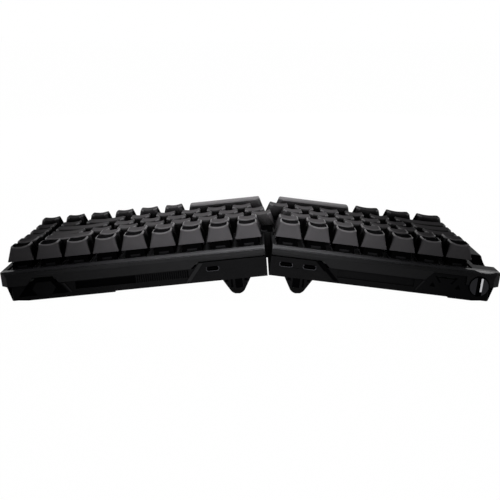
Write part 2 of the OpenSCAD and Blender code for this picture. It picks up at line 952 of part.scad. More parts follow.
module wheel_inlay() {
  color([0.8, 0.8, 0.82])
    place(LEFT)
      on_plate()
        box(wheel_x + inlay_x - inlay_w / 2, wheel_x + inlay_x + inlay_w / 2,
          wheel_proud - groove_t, wheel_proud + 0.2,
          inlay_z - wheel_drop - inlay_l / 2, inlay_z - wheel_drop + inlay_l / 2);
}

module wheel_encoder() {
  color(dark_switch)
    place(LEFT)
      on_plate()
        difference() {
          box(wheel_x - encoder_w / 2, wheel_x + encoder_w / 2, -wheel_t - encoder_t, -wheel_t - 0.1,
            -wheel_drop - encoder_w / 2, -wheel_drop + encoder_w / 2);
          wheel_bore(spindle_r + pivot_fit, -wheel_t - encoder_t + 0.4, 5);
        }
}

bottom_case(LEFT);  // left_bottom_case
top_case(LEFT);  // left_top_case
switch_plate(LEFT);  // left_switch_plate
circuit_board(LEFT);  // left_circuit_board
switch_housings(LEFT);  // left_switch_housings
switch_springs(LEFT);  // left_switch_springs
stabilisers(LEFT);  // left_stabilisers
fixed_keys(LEFT);  // left_fixed_keys
leg(LEFT, rear_leg_y);  // left_rear_leg
leg(LEFT, front_leg_y[LEFT]);  // left_front_leg
rubber_feet(LEFT);  // left_rubber_feet
case_screws(LEFT);  // left_case_screws
socket(LEFT, host_socket_x);  // left_host_socket
socket(LEFT, left_link_x);  // left_link_socket
control_wheel();
wheel_inlay();
wheel_encoder();
space_wire(LEFT);  // left_space_wire
one_key(LEFT, space_row, 0);  // space_bar_left
bottom_case(RIGHT);  // right_bottom_case
top_case(RIGHT);  // right_top_case
switch_plate(RIGHT);  // right_switch_plate
circuit_board(RIGHT);  // right_circuit_board
switch_housings(RIGHT);  // right_switch_housings
switch_springs(RIGHT);  // right_switch_springs
stabilisers(RIGHT);  // right_stabilisers
fixed_keys(RIGHT);  // right_fixed_keys
leg(RIGHT, rear_leg_y);  // right_rear_leg
leg(RIGHT, front_leg_y[RIGHT]);  // right_front_leg
rubber_feet(RIGHT);  // right_rubber_feet
case_screws(RIGHT);  // right_case_screws
socket(RIGHT, right_link_x);  // right_link_socket
space_wire(RIGHT);  // right_space_wire
one_key(RIGHT, space_row, 0);  // space_bar_right
one_key(LEFT, 0, 6);  // key_esc
one_key(LEFT, 0, 5);  // key_f1
one_key(LEFT, 0, 4);  // key_f2
one_key(LEFT, 0, 3);  // key_f3
one_key(LEFT, 0, 2);  // key_f4
one_key(LEFT, 0, 1);  // key_f5
one_key(LEFT, 0, 0);  // key_f6
one_key(RIGHT, 0, 0);  // key_f7
one_key(RIGHT, 0, 1);  // key_f8
one_key(RIGHT, 0, 2);  // key_f9
one_key(RIGHT, 0, 3);  // key_f10
one_key(RIGHT, 0, 4);  // key_f11
one_key(RIGHT, 0, 5);  // key_f12
one_key(RIGHT, 0, 6);  // key_insert
one_key(RIGHT, 0, 7);  // key_delete
one_key(RIGHT, 0, 8);  // key_home
one_key(LEFT, home_row, 4);  // key_a
one_key(LEFT, home_row, 3);  // key_s
one_key(LEFT, home_row, 2);  // key_d
one_key(LEFT, home_row, 1);  // key_f
one_key(LEFT, home_row, 0);  // key_g
one_key(RIGHT, home_row, 0);  // key_h
one_key(RIGHT, home_row, 1);  // key_j
one_key(RIGHT, home_row, 2);  // key_k
one_key(RIGHT, home_row, 3);  // key_l
one_key(RIGHT, home_row, 4);  // key_semicolon
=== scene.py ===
import math

import bmesh
import bpy
from mathutils import Matrix, Vector


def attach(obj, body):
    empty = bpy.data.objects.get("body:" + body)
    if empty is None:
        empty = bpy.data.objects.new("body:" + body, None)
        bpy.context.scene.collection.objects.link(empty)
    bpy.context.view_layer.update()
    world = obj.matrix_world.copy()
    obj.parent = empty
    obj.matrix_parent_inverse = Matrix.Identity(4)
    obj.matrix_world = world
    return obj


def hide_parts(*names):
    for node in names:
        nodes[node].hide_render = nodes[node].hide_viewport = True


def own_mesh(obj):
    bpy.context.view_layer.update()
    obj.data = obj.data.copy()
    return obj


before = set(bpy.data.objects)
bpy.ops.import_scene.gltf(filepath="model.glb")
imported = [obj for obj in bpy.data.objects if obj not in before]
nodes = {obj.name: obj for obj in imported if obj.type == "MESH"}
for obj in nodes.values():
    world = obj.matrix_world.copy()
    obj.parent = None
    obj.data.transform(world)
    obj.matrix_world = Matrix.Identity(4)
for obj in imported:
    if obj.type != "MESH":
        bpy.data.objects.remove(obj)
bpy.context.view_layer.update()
print("frame loaded:", len(nodes), "nodes")

mm = 0.001


def toLinear(hexText):
    values = [int(hexText[i:i + 2], 16) / 255 for i in (1, 3, 5)]
    return [v / 12.92 if v <= 0.04045 else ((v + 0.055) / 1.055) ** 2.4 for v in values] + [1.0]


def addNode(tree, kind, inputs=None, **settings):
    made = tree.nodes.new(kind)
    for key, value in settings.items():
        setattr(made, key, value)
    for key, value in (inputs or {}).items():
        if isinstance(value, bpy.types.NodeSocket):
            tree.links.new(value, made.inputs[key])
        else:
            made.inputs[key].default_value = value
    return made


# the two halves lie on their plates: x runs outward, y to the back wall, z up from the plate, all in mm
layout = {
    "pitch": 19.05, "capGap": 1.2, "typingAngle": 2.0, "plateHeight": 18.3,
    "backMargin": 9.4, "frontMargin": 4.5, "innerMargin": 0.6, "splitGap": 1.0,
    "legReach": 15.4, "legX": 20.5, "footThick": 1.0, "footInset": 17.0, "wheelProud": 0.6,
    "outerMargin": {"right": 4.1, "left": 18.6}, "columns": {"right": 9, "left": 7},
    "sign": {"right": 1, "left": -1},
    # inner offset in key units, then widths from the inner end outward, back row first
    "rows": {
        "right": [(0, [1] * 9), (0, [1] * 6 + [2, 1]), (-0.5, [1] * 7 + [1.5, 1]),
                  (-0.25, [1] * 6 + [2.25, 1]), (0.25, [1] * 5 + [1.75, 1, 1]),
                  (-0.125, [3.125] + [1] * 6)],
        "left": [(0, [1] * 7), (0, [1] * 7), (0.5, [1] * 5 + [1.5]), (0.25, [1] * 5 + [1.75]),
                 (-0.25, [1] * 5 + [2.25]), (0.125, [3.125, 1.25, 1.25, 1.25])],
    },
    # keys that press on their own body: (side, row) gives the names from the inner end outward
    "moving": {
        ("right", 0): ["key_f7", "key_f8", "key_f9", "key_f10", "key_f11", "key_f12",
                       "key_insert", "key_delete", "key_home"],
        ("left", 0): ["key_f6", "key_f5", "key_f4", "key_f3", "key_f2", "key_f1", "key_esc"],
        ("right", 3): ["key_h", "key_j", "key_k", "key_l", "key_semicolon"],
        ("left", 3): ["key_g", "key_f", "key_d", "key_s", "key_a"],
        ("right", 5): ["space_bar_right"], ("left", 5): ["space_bar_left"],
    },
}
sides = ("right", "left")


def halfShape(side):
    width = layout["columns"][side] * layout["pitch"] + layout["outerMargin"][side]
    footEdge = width - layout["footInset"]
    tent = math.atan((layout["legReach"] - layout["footThick"]) / (footEdge - layout["legX"]))
    lift = footEdge * math.sin(tent) + layout["footThick"] * math.cos(tent)
    start = layout["splitGap"] / 2 + layout["innerMargin"] * math.cos(tent)
    reach = start + width * math.cos(tent) + layout["plateHeight"] * math.sin(tent)
    return tent, lift, start, reach


centreX = (halfShape("right")[3] - halfShape("left")[3]) / 2
caseDepth = layout["backMargin"] + 6 * layout["pitch"] + layout["frontMargin"]
centreY = (layout["wheelProud"] - caseDepth) / 2


def plateMatrix(side):
    tent, lift, start, reach = halfShape(side)
    sign = layout["sign"][side]
    return (Matrix.Scale(mm, 4)
            @ Matrix.Translation((sign * start - centreX, -centreY, lift))
            @ Matrix.Rotation(sign * tent, 4, "Y")
            @ Matrix.Translation((0, 0, layout["plateHeight"]))
            @ Matrix.Rotation(math.radians(layout["typingAngle"]), 4, "X"))


plates = {side: plateMatrix(side) for side in sides}


def keysOf(side):
    for row, (offset, widths) in enumerate(layout["rows"][side]):
        x = offset
        for k, units in enumerate(widths):
            names = layout["moving"].get((side, row), [])
            place = (layout["sign"][side] * layout["pitch"] * (x + units / 2),
                     -layout["backMargin"] - layout["pitch"] * (row + 0.5))
            yield row, units, place, names[k] if k < len(names) else None
            x += units


# camera: behind the keyboard, a little above the desk, at the lens that gives the photo's perspective
view = {"elevation": 14.3, "distance": 607.0, "aim": (0.27, 63.8, 35.0), "focal": 930.0, "frame": 500,
        "sensor": 36}
cameraData = bpy.data.cameras.new("camera")
cameraData.sensor_width = view["sensor"]
cameraData.lens = view["focal"] / view["frame"] * view["sensor"]
cameraObject = bpy.data.objects.new("camera", cameraData)
bpy.context.collection.objects.link(cameraObject)
rise = math.radians(view["elevation"])
offset = Vector((0, math.cos(rise), math.sin(rise))) * view["distance"]
cameraObject.location = (Vector(view["aim"]) + offset) * mm
cameraObject.rotation_euler = (math.pi / 2 - rise, 0, math.pi)
bpy.context.scene.camera = cameraObject
print("camera set")


# materials; the painted shade is the near black that colours darken to where parts stand close together
paintedShadeHex = "#060606"


def mouldedPlastic(look):
    made = bpy.data.materials.new(look["name"])
    made.use_nodes = True
    tree = made.node_tree
    shader = tree.nodes["Principled BSDF"]
    place = addNode(tree, "ShaderNodeTexCoord").outputs["Object"]
    cloud = addNode(tree, "ShaderNodeTexNoise", {"Vector": place, "Scale": 1 / (look["cloudMm"] * mm),
                                                 "Detail": 3.0, "Roughness": 0.6})
    grain = addNode(tree, "ShaderNodeTexNoise", {"Vector": place, "Scale": 1 / (look["grainMm"] * mm),
                                                 "Detail": 2.0, "Roughness": 0.5})
    tone = addNode(tree, "ShaderNodeMix", {"Factor": cloud.outputs["Fac"], "A": toLinear(look["dark"]),
                                           "B": toLinear(look["light"])}, data_type="RGBA")
    rough = addNode(tree, "ShaderNodeMapRange", {"Value": grain.outputs["Fac"], "To Min": look["rough"][0],
                                                 "To Max": look["rough"][1]})
    bump = addNode(tree, "ShaderNodeBump", {"Height": grain.outputs["Fac"], "Strength": look["bump"],
                                            "Distance": look["grainMm"] * mm * 0.3})
    colour = tone.outputs["Result"]
    if "highlightFade" in look:
        # painted highlight: next to the split the colour is paler, fading to the rest colour further out
        near, far, rest = look["highlightFade"]
        across = addNode(tree, "ShaderNodeSeparateXYZ", {"Vector": place})
        away = addNode(tree, "ShaderNodeMath", {0: across.outputs["X"]}, operation="ABSOLUTE")
        highlightShare = addNode(tree, "ShaderNodeMapRange", {"Value": away.outputs[0], "From Min": near * mm,
                                                    "From Max": far * mm})
        colour = addNode(tree, "ShaderNodeMix", {"Factor": highlightShare.outputs["Result"], "A": colour,
                                                 "B": toLinear(rest)}, data_type="RGBA").outputs["Result"]
    if "shade" in look:
        # painted shade: colours darken towards near black where parts stand close together
        reach, low, high = look["shade"]
        near = addNode(tree, "ShaderNodeAmbientOcclusion", {"Distance": reach * mm}, samples=8)
        room = addNode(tree, "ShaderNodeMapRange", {"Value": near.outputs["AO"], "From Min": low,
                                                    "From Max": high})
        colour = addNode(tree, "ShaderNodeMix", {"Factor": room.outputs["Result"], "A": toLinear(paintedShadeHex),
                                                 "B": colour}, data_type="RGBA").outputs["Result"]
    tree.links.new(colour, shader.inputs["Base Color"])
    tree.links.new(rough.outputs["Result"], shader.inputs["Roughness"])
    tree.links.new(bump.outputs["Normal"], shader.inputs["Normal"])
    if "soften" in look:
        # the tool rounds every edge of the moulding a little
        rounded = addNode(tree, "ShaderNodeBevel", {"Radius": look["soften"] * mm}, samples=4)
        tree.links.new(rounded.outputs["Normal"], bump.inputs["Normal"])
    shader.inputs["IOR"].default_value = look["ior"]
    shader.inputs["Specular IOR Level"].default_value = look["specular"]
    return made


def workedMetal(look):
    made = bpy.data.materials.new(look["name"])
    made.use_nodes = True
    tree = made.node_tree
    shader = tree.nodes["Principled BSDF"]
    place = addNode(tree, "ShaderNodeTexCoord").outputs["Object"]
    stretch = addNode(tree, "ShaderNodeMapping", {"Vector": place, "Scale": look["stretch"]})
    lines = addNode(tree, "ShaderNodeTexNoise", {"Vector": stretch.outputs["Vector"],
                                                 "Scale": 1 / (look["lineMm"] * mm), "Detail": 2.0})
    tone = addNode(tree, "ShaderNodeMix", {"Factor": lines.outputs["Fac"], "A": toLinear(look["dark"]),
                                           "B": toLinear(look["light"])}, data_type="RGBA")
    rough = addNode(tree, "ShaderNodeMapRange", {"Value": lines.outputs["Fac"], "To Min": look["rough"][0],
                                                 "To Max": look["rough"][1]})
    bump = addNode(tree, "ShaderNodeBump", {"Height": lines.outputs["Fac"], "Strength": look["bump"],
                                            "Distance": look["lineMm"] * mm * 0.2})
    tree.links.new(tone.outputs["Result"], shader.inputs["Base Color"])
    tree.links.new(rough.outputs["Result"], shader.inputs["Roughness"])
    tree.links.new(bump.outputs["Normal"], shader.inputs["Normal"])
    shader.inputs["Metallic"].default_value = 1.0
    return made


# PBT, moulded in a lightly blasted tool: dry charcoal faces, with shade painted dark where no light falls
pbtCap = mouldedPlastic({
    "name": "pbtKeycap", "light": "#535153", "dark": "#484749", "cloudMm": 9, "grainMm": 0.7,
    "bump": 0.12, "rough": (0.55, 0.7), "specular": 0.0, "ior": 1.57, "shade": (18, 0.52, 0.86)})
# the same PBT in the finger dishes of the back row, painted near black as shade, and rougher
pbtShadedDish = mouldedPlastic({
    "name": "pbtFingerDishShade", "light": "#161617", "dark": "#101011", "cloudMm": 7, "grainMm": 0.8,
    "bump": 0.2, "rough": (0.6, 0.75), "specular": 0.0, "ior": 1.57})
# the same PBT on the tops of the other rows, worn a little paler
pbtTop = mouldedPlastic({
    "name": "pbtWornTop", "light": "#565456", "dark": "#4a494a", "cloudMm": 7, "grainMm": 0.8,
    "bump": 0.15, "rough": (0.55, 0.7), "specular": 0.0, "ior": 1.57, "shade": (12, 0.3, 0.75)})
# the same PBT on the rolled rims of the back rows and space bars, painted paler as a highlight line
pbtRimHighlight = mouldedPlastic({
    "name": "pbtRolledRimHighlight", "light": "#6c6a6c", "dark": "#5e5c5e", "cloudMm": 6, "grainMm": 0.7,
    "bump": 0.08, "rough": (0.36, 0.46), "specular": 0.05, "ior": 1.57, "shade": (12, 0.2, 0.65)})
# the same PBT on the rims of the front rows, painted darker as shade
pbtShadedRim = mouldedPlastic({
    "name": "pbtRimShade", "light": "#373637", "dark": "#2c2b2c", "cloudMm": 6, "grainMm": 0.7,
    "bump": 0.1, "rough": (0.5, 0.62), "specular": 0.02, "ior": 1.57, "shade": (12, 0.25, 0.7)})
# the same PBT where hands and cloth polish the corners: small glints
pbtCorner = mouldedPlastic({
    "name": "pbtPolishedCorner", "light": "#5a585a", "dark": "#4c4b4d", "cloudMm": 6, "grainMm": 0.7,
    "bump": 0.05, "rough": (0.26, 0.34), "specular": 0.18, "ior": 1.57, "shade": (12, 0.2, 0.65)})
# ABS, moulded with a fine spark grain: deep black walls, no mirror
absTop = mouldedPlastic({
    "name": "absTopCase", "light": "#252526", "dark": "#1d1d1e", "cloudMm": 14, "grainMm": 0.6,
    "bump": 0.15, "rough": (0.46, 0.6), "specular": 0.02, "ior": 1.53, "shade": (14, 0.25, 0.7),
    "soften": 1.2})
# the same ABS on the sloped back edge, satin from the tool, with a painted highlight: a bright line as if
# under the lamp, fading outward
absSatinHighlight = mouldedPlastic({
    "name": "absSatinEdgeHighlight", "light": "#59595b", "dark": "#4d4d4f", "cloudMm": 14, "grainMm": 0.5,
    "bump": 0.06, "rough": (0.28, 0.36), "specular": 0.03, "ior": 1.53, "soften": 0.6,
    "highlightFade": (0, 110, "#272729")})
# ABS, polished: the thumb facet above the wheel, painted near white as a highlight
absPolishedHighlight = mouldedPlastic({
    "name": "absPolishedFacetHighlight", "light": "#cfcfd1", "dark": "#bababc", "cloudMm": 5, "grainMm": 0.4,
    "bump": 0.03, "rough": (0.18, 0.26), "specular": 0.5, "ior": 1.53})
# ABS below the parting line, with a coarser grain
absBase = mouldedPlastic({
    "name": "absBaseCase", "light": "#171718", "dark": "#101011", "cloudMm": 14, "grainMm": 0.8,
    "bump": 0.2, "rough": (0.52, 0.68), "specular": 0.01, "ior": 1.53, "soften": 0.3,
    "shade": (5, 0.3, 0.85)})
# the same ABS on the floors of grooves and bands, with the deepest grain, painted near black as shade
absShadedRecess = mouldedPlastic({
    "name": "absShadedRecess", "light": "#070708", "dark": "#040405", "cloudMm": 10, "grainMm": 0.9,
    "bump": 0.25, "rough": (0.6, 0.75), "specular": 0.0, "ior": 1.53})
# ABS of the fold-out legs: a dark moulding with a dull skin
absLeg = mouldedPlastic({
    "name": "absLeg", "light": "#1a1a1b", "dark": "#131314", "cloudMm": 8, "grainMm": 0.7, "bump": 0.18,
    "rough": (0.5, 0.64), "specular": 0.0, "ior": 1.53, "soften": 0.3})
# glass-filled nylon, moulded: smooth, slightly waxy switch shells, the upper ones painted near black as the
# shade under the caps
nylonSwitch = mouldedPlastic({
    "name": "nylonSwitch", "light": "#4c4c4e", "dark": "#0c0c0d", "cloudMm": 1.8, "grainMm": 0.5,
    "bump": 0.08, "rough": (0.38, 0.5), "specular": 0.05, "ior": 1.53, "shade": (8, 0.2, 0.7)})
nylonShadedTop = mouldedPlastic({
    "name": "nylonSwitchTopShade", "light": "#0c0c0d", "dark": "#050506", "cloudMm": 5, "grainMm": 0.5,
    "bump": 0.08, "rough": (0.38, 0.5), "specular": 0.0, "ior": 1.53, "shade": (7, 0.3, 0.8)})
# acetal, moulded: slippery stems with a faint sheen
acetalStem = mouldedPlastic({
    "name": "acetalStem", "light": "#2a2a2c", "dark": "#202022", "cloudMm": 4, "grainMm": 0.4,
    "bump": 0.05, "rough": (0.3, 0.4), "specular": 0.1, "ior": 1.48})
# polycarbonate, moulded: the light window over each switch's lamp
lampWindow = mouldedPlastic({
    "name": "polycarbonateWindow", "light": "#2c2c2e", "dark": "#070708", "cloudMm": 1.3, "grainMm": 0.4,
    "bump": 0.04, "rough": (0.25, 0.35), "specular": 0.01, "ior": 1.58})
# silicone rubber, moulded: dull, slightly dusty black
siliconeFoot = mouldedPlastic({
    "name": "siliconeRubber", "light": "#161616", "dark": "#0e0e0e", "cloudMm": 6, "grainMm": 0.5,
    "bump": 0.3, "rough": (0.75, 0.9), "specular": 0.02, "ior": 1.41})
# fibreglass board under black solder mask
solderMask = mouldedPlastic({
    "name": "solderMaskBoard", "light": "#141816", "dark": "#0c0f0e", "cloudMm": 3, "grainMm": 0.4,
    "bump": 0.1, "rough": (0.25, 0.4), "specular": 0.1, "ior": 1.5})
# steel sheet, powder coated black: fine orange peel
coatedSheet = mouldedPlastic({
    "name": "powderCoatedSteel", "light": "#1c1c1d", "dark": "#141415", "cloudMm": 8, "grainMm": 0.9,
    "bump": 0.25, "rough": (0.4, 0.55), "specular": 0.05, "ior": 1.5})
# music wire, drawn and bright
drawnWire = workedMetal({
    "name": "drawnSpringSteel", "light": "#b4b6ba", "dark": "#8e9094", "lineMm": 0.4,
    "stretch": (1, 1, 1), "rough": (0.22, 0.34), "bump": 0.05})
# stainless shell, deep drawn and blackened, as around the plug sockets
drawnShell = workedMetal({
    "name": "blackenedSteelShell", "light": "#29292b", "dark": "#1f1f21", "lineMm": 0.5,
    "stretch": (1, 0.2, 1), "rough": (0.34, 0.48), "bump": 0.05})
# steel screws, black oxide
oxideScrew = workedMetal({
    "name": "blackOxideSteel", "light": "#3a3a3c", "dark": "#2a2a2c", "lineMm": 0.5, "stretch": (1, 1, 1),
    "rough": (0.4, 0.55), "bump": 0.1})
# aluminium, turned and bead blasted, then anodised grey: the control wheel
anodisedWheel = workedMetal({
    "name": "anodisedAluminium", "light": "#242426", "dark": "#1c1c1e", "lineMm": 0.5,
    "stretch": (1, 1, 1), "rough": (0.42, 0.52), "bump": 0.1})
# aluminium bar, brushed along its length and left bright
brightBar = workedMetal({
    "name": "brushedAluminium", "light": "#c4c4c6", "dark": "#adadb0", "lineMm": 0.35,
    "stretch": (1, 1, 0.1), "rough": (0.2, 0.32), "bump": 0.05})
print("materials made")


# meshes: weld and cut distances, then the angles in degrees up to which faces are one, smooth, or unbroken
meshing = {"weldMm": 0.002, "cutMm": 0.001, "flat": 0.6, "sharp": 12, "bevelFrom": 38}


def slotsOf(finishes):
    return {name: i for i, name in enumerate(finishes)}


# bevel: nothing leaves the shading smooth, 0 keeps moulded edges sharp, more rounds them by so many mm
def finishPiece(name, bm, materials, body, replaced=(), bevel=None):
    mesh = bpy.data.meshes.new(name)
    bm.to_mesh(mesh)
    bm.free()
    for material in materials:
        mesh.materials.append(material)
    mesh.shade_smooth()
    if bevel == 0:
        mesh.set_sharp_from_angle(angle=math.radians(meshing["sharp"]))
    piece = bpy.data.objects.new(name, mesh)
    bpy.context.collection.objects.link(piece)
    if bevel:
        edge = piece.modifiers.new("edge", "BEVEL")
        edge.width = bevel * mm
        edge.segments = 2
        edge.limit_method = "ANGLE"
        edge.angle_limit = math.radians(meshing["bevelFrom"])
        edge.use_clamp_overlap = True
        edge.miter_outer = "MITER_ARC"
    normals = piece.modifiers.new("normals", "WEIGHTED_NORMAL")
    normals.keep_sharp = True
    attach(piece, body)
    if replaced:
        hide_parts(*replaced)
    return piece


def weldedCopy(node):
    bm = bmesh.new()
    bm.from_mesh(nodes[node].data)
    bmesh.ops.remove_doubles(bm, verts=bm.verts, dist=meshing["weldMm"] * mm)
    return bm


def mergeFlat(bm):
    bmesh.ops.dissolve_limit(bm, angle_limit=math.radians(meshing["flat"]), verts=bm.verts, edges=bm.edges)


def solidCopy(node, merge=True):
    bm = weldedCopy(node)
    if merge:
        mergeFlat(bm)
    for face in bm.faces:
        face.material_index = 0
    return bm


def islands(bm):
    left = set(bm.verts)
    while left:
        start = left.pop()
        found, queue = [start], [start]
        while queue:
            for edge in queue.pop().link_edges:
                for vert in edge.verts:
                    if vert in left:
                        left.discard(vert)
                        found.append(vert)
                        queue.append(vert)
        yield found


def spanX(verts):
    xs = [v.co.x for v in verts]
    return max(xs) - min(xs)


# keycaps: a tapered shell with rolled edges and a cylindrical finger dish; sizes in mm
capShape = {
    "height": 10.1, "side": 2.7, "front": 3.2, "back": 1.8, "rest": 6.2, "dish": 0.9, "lip": 0.5,
    # how far the caps of each row, back row first, stay below those of the back row
    "drop": (0, 0.3, 1.4, 1.6, 1.6, -0.5),
    "wall": 1.4, "roof": 1.4, "baseRadius": 0.9, "baseEdge": 0.15, "topRadius": 2.6, "roll": 0.9,
    "innerTop": 1.2, "innerBase": 0.4, "crown": 0.5, "crownHalf": 6.4,
    "postRadius": 2.8, "postLow": 0.4, "postBury": 0.3, "postSides": 16, "wideReach": 11.9, "leastWide": 12,
    "cornerSteps": 4, "sideSteps": 8, "rollTurns": (0, 22, 45, 68, 90), "dishRings": (0.86, 0.6, 0.3),
}
capFinishes = {"wall": pbtCap, "stem": acetalStem, "edge": pbtRimHighlight, "dish": pbtShadedDish, "corner": pbtCorner,
               "dulled": pbtShadedRim, "top": pbtTop}
capSlots = slotsOf(capFinishes)


def ringPoints(x, front, back, radius):
    steps, cuts = capShape["cornerSteps"], capShape["sideSteps"]
    corners = [(x, back, 0), (-x, back, 1), (-x, front, 2), (x, front, 3)]
    points = []
    for i, (cx, cy, quarter) in enumerate(corners):
        mx = cx - math.copysign(radius, cx)
        my = cy - (radius if cy == back else -radius)
        for s in range(steps + 1):
            turn = math.pi / 2 * (quarter + s / steps)
            points.append(Vector((mx + radius * math.cos(turn), my + radius * math.sin(turn), 0)))
        nx, ny, nextQuarter = corners[(i + 1) % 4]
        ex = nx - math.copysign(radius, nx) + radius * math.cos(math.pi / 2 * nextQuarter)
        ey = ny - (radius if ny == back else -radius) + radius * math.sin(math.pi / 2 * nextQuarter)
        last = points[-1].copy()
        for s in range(1, cuts):
            points.append(last.lerp(Vector((ex, ey, 0)), s / cuts))
    return points


def capMesh(bm, row, units, matrix):
    shape = capShape
    halfX = (units * layout["pitch"] - layout["capGap"]) / 2
    halfY = (layout["pitch"] - layout["capGap"]) / 2
    height, roll = shape["height"] - shape["drop"][row], shape["roll"]
    side, front, back = [shape[k] * height / shape["height"] for k in ("side", "front", "back")]
    half = halfX - side - shape["lip"]
    long = units > 3

    def topHeight(p):
        if long:
            return height - shape["crown"] * ((p.y - (front - back) / 2) / shape["crownHalf"]) ** 2
        return height - shape["dish"] * max(0.0, 1 - (p.x / half) ** 2)

    def wallRing(z, inset, radius):
        share = z / height
        return ringPoints(halfX - side * share - inset, -halfY + front * share + inset,
                          halfY - back * share - inset, radius)

    def leaned(p, drop):
        # a point lower on the leaning wall stands further out
        moved = p.copy()
        moved.x += math.copysign(side * drop / height, p.x) if abs(p.x) > half else 0
        moved.y += back * drop / height if p.y > 0 else -front * drop / height
        return moved

    rings = []
    room = height - shape["dish"] - shape["roof"]
    inner = wallRing(room, shape["wall"], shape["innerTop"])
    edge = shape["baseEdge"]
    rings.append([Vector((p.x, p.y, room)) for p in inner])
    rings.append([Vector((p.x, p.y, 0)) for p in wallRing(0, shape["wall"], shape["innerBase"])])
    rings.append([Vector((p.x, p.y, 0)) for p in wallRing(0, edge, shape["baseRadius"])])
    rings.append([Vector((p.x, p.y, edge)) for p in wallRing(edge, 0, shape["baseRadius"])])
    rollFrom = len(rings)
    for turn in shape["rollTurns"]:
        inset = roll * (1 - math.cos(math.radians(turn)))
        fall = roll * (1 - math.sin(math.radians(turn)))
        ring = []
        for p in wallRing(height - roll, inset, shape["topRadius"] - inset):
            top = topHeight(p)
            q = leaned(p, height - top)
            ring.append(Vector((q.x, q.y, top - fall)))
        rings.append(ring)
    dishFrom = len(rings) - 1
    brow = rings[-1]
    middle = Vector((0, (front - back) / 2, 0))
    for share in shape["dishRings"]:
        ring = []
        for p in brow:
            q = middle.lerp(Vector((p.x, p.y, 0)), share)
            ring.append(Vector((q.x, q.y, topHeight(q))))
        rings.append(ring)
    made = [[bm.verts.new(matrix @ p) for p in ring] for ring in rings]
    count = len(made[0])
    perCorner = shape["cornerSteps"] + shape["sideSteps"]
    # painted shade on the back row's finger dishes and the front rows' rims; painted highlight on the rims of
    # the two back rows and on the space bars, tops included
    topSlot = capSlots["edge" if long else "dish" if row == 0 else "top"]
    rimSlot = capSlots["edge" if long or row < 2 else "dulled"]
    for level, (a, b) in enumerate(zip(made, made[1:])):
        for i in range(count):
            j = (i + 1) % count
            face = bm.faces.new((a[i], a[j], b[j], b[i]))
            if level >= dishFrom:
                face.material_index = topSlot
            elif level >= rollFrom and i % perCorner < shape["cornerSteps"]:
                face.material_index = capSlots["corner"]
            elif level >= rollFrom:
                face.material_index = rimSlot
    bm.faces.new(list(reversed(made[0])))
    tip = bm.verts.new(matrix @ Vector((middle.x, middle.y, topHeight(middle))))
    for i in range(count):
        face = bm.faces.new((made[-1][i], made[-1][(i + 1) % count], tip))
        face.material_index = topSlot
    low, high = shape["postLow"], room + shape["postBury"]
    spans = [0] if units < 2 else [-1, 0, 1]
    reach = layout["pitch"] if long else shape["wideReach"]
    turns = [math.tau * i / shape["postSides"] for i in range(shape["postSides"])]
    for s in spans:
        circle = [Vector((s * reach + shape["postRadius"] * math.cos(turn),
                          shape["postRadius"] * math.sin(turn), 0)) for turn in turns]
        ends = [[bm.verts.new(matrix @ (p + Vector((0, 0, z)))) for p in circle] for z in (low, high)]
        bm.faces.new(list(reversed(ends[0])))
        bm.faces.new(ends[1])
        for i in range(len(circle)):
            j = (i + 1) % len(circle)
            bm.faces.new((ends[0][i], ends[0][j], ends[1][j], ends[1][i]))


def addStems(bm, node):
    # the stems keep the solid's own form: everything in the node but the wide cap shells
    stems = weldedCopy(node)
    caps = [v for verts in islands(stems) if spanX(verts) > capShape["leastWide"] * mm for v in verts]
    bmesh.ops.delete(stems, geom=caps, context="VERTS")
    mergeFlat(stems)
    spare = bpy.data.meshes.new("stems")
    stems.to_mesh(spare)
    stems.free()
    before = set(bm.faces)
    bm.from_mesh(spare)
    for face in set(bm.faces) - before:
        face.material_index = capSlots["stem"]
    bpy.data.meshes.remove(spare)


def capAt(bm, side, row, units, place):
    lift = Matrix.Translation((place[0], place[1], capShape["rest"]))
    capMesh(bm, row, units, plates[side] @ lift)


capMaterials = list(capFinishes.values())
for side in sides:
    fixedCaps = bmesh.new()
    for row, units, place, name in keysOf(side):
        if name is None:
            capAt(fixedCaps, side, row, units, place)
            continue
        bm = bmesh.new()
        capAt(bm, side, row, units, place)
        addStems(bm, name)
        finishPiece("cap_" + name, bm, capMaterials, name, [name])
    group = side + "_fixed_keys"
    addStems(fixedCaps, group)
    finishPiece("caps_" + group, fixedCaps, capMaterials, side + "_half", [group])
print("keycaps made")


# switches: the solid's shells, plus the parts seen under the raised caps
switchDetail = {"postX": 5.6, "postWide": 1.5, "postLow": 2.6, "postHigh": 5.2, "postFrom": 5.9,
                "wallFace": 6.6, "proud": 0.35, "windowWide": 6.4, "windowLow": 1.2, "windowHigh": 2.6,
                "windowFrom": 6.2, "windowTo": 7.2, "flangeTop": 1.1}
switchFinishes = {"shell": nylonSwitch, "window": lampWindow, "top": nylonShadedTop}
switchSlots = slotsOf(switchFinishes)


def addBlock(bm, matrix, low, high, index):
    xs, ys, zs = zip(low, high)
    verts = [bm.verts.new(matrix @ Vector((x, y, z))) for z in zs for y in ys for x in xs]
    for loop in ((0, 2, 3, 1), (4, 5, 7, 6), (0, 1, 5, 4), (2, 6, 7, 3), (0, 4, 6, 2), (1, 3, 7, 5)):
        face = bm.faces.new([verts[i] for i in loop])
        face.material_index = index


def switchParts(bm, side, place):
    d = switchDetail
    matrix = plates[side] @ Matrix.Translation((place[0], place[1], 0))
    # the posts take the same near-black painted shade
    for x in (-d["postX"], d["postX"]):
        addBlock(bm, matrix, (x - d["postWide"] / 2, d["postFrom"], d["postLow"]),
                 (x + d["postWide"] / 2, d["wallFace"] + d["proud"], d["postHigh"]), switchSlots["top"])
    addBlock(bm, matrix, (-d["windowWide"] / 2, d["windowFrom"], d["windowLow"]),
             (d["windowWide"] / 2, d["windowTo"], d["windowHigh"]), switchSlots["window"])


